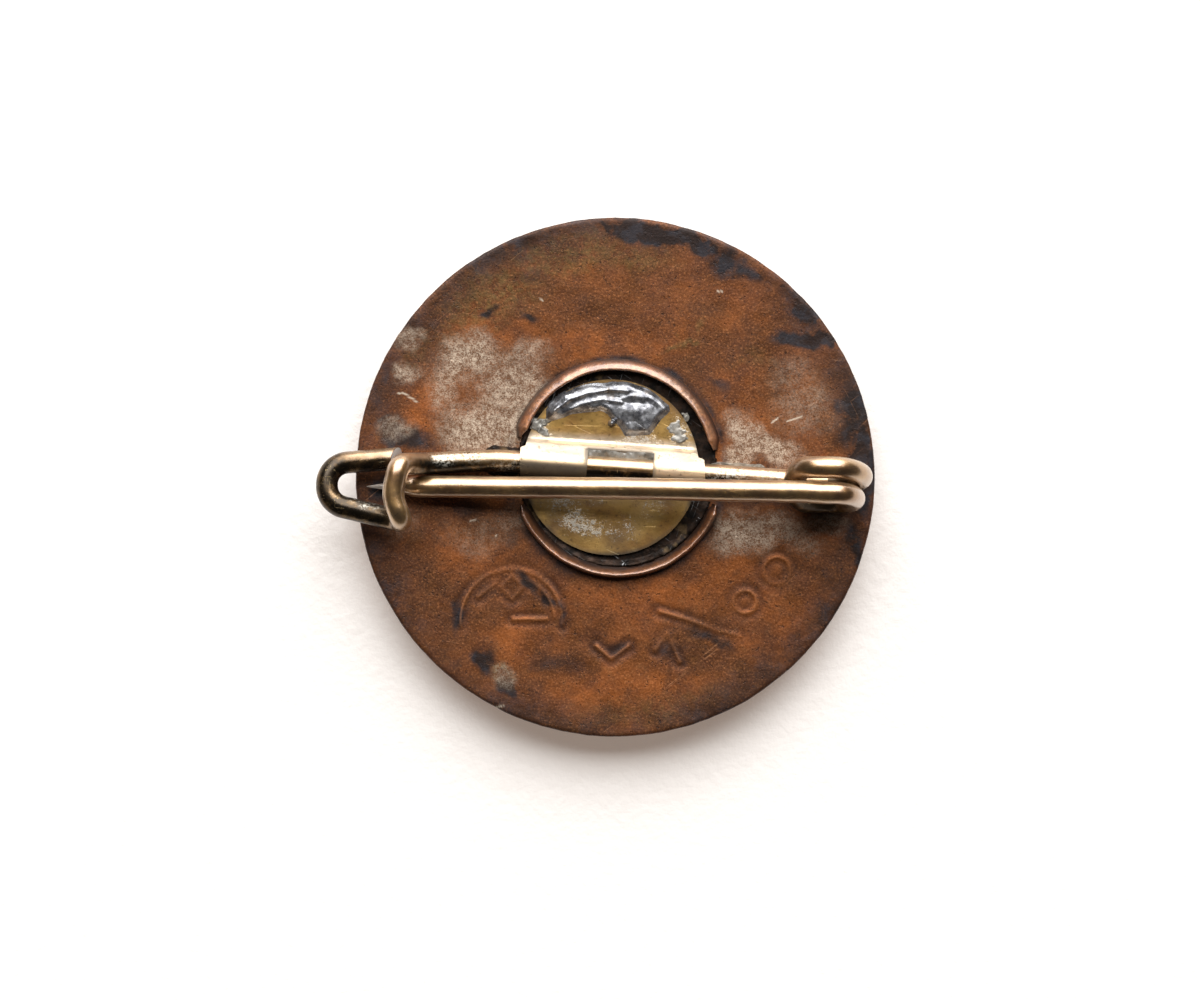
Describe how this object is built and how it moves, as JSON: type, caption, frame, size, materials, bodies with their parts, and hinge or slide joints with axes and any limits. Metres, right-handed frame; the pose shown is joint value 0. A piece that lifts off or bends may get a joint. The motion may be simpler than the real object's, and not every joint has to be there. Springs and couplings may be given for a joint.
{
  "type": "button badge",
  "caption": "Round domed lapel badge with an enamelled front and a sprung wire pin, held by a hook catch, on its flat copper back.",
  "frame": {"origin": "centre of the flat crown in the middle of the domed front, on which the badge lies face down", "axes": "+Z from the front to the back, +X along the pin from its point to its spring coil, +Y across the pin"},
  "size_m": [0.0269, 0.025, 0.0065],
  "materials": {
    "copper": "old copper with a brown patina",
    "brass_sheet": "dull brass sheet",
    "brass_wire": "bright drawn brass wire, toned brown",
    "solder": "dull grey soft solder",
    "enamel_field": "polished cream enamel",
    "enamel_border": "polished dark blue enamel"
  },
  "bodies": {
    "badge": {"badge_disc": "copper", "enamel_field": "enamel_field", "enamel_border": "enamel_border", "collar_upper": "copper", "collar_lower": "copper", "solder_bed": "solder", "pin_plate": "brass_sheet", "solder_blob": "solder", "solder_patch_left": "solder", "solder_patch_right": "solder", "solder_fillet_left": "solder", "solder_fillet_right": "solder", "fixed_wire": "brass_wire"},
    "spring": {"spring_coil": "brass_wire"},
    "pin": {"pin_arm": "brass_wire"}
  },
  "joints": [
    {"name": "side_flex", "type": "hinge", "parent": "badge", "child": "spring", "pos_m": [0.01018, -0.00035, 0.00441], "axis": [0, 0, 1], "range_deg": [0, 8], "stiffness_Nm_per_rad": 0.3, "deforming": ["spring_coil"]},
    {"name": "pin_swing", "type": "hinge", "parent": "spring", "child": "pin", "pos_m": [0.01018, -0.00035, 0.00441], "axis": [0, 1, 0], "range_deg": [0, 60], "stiffness_Nm_per_rad": 0.3, "deforming": ["spring_coil"]}
  ]
}
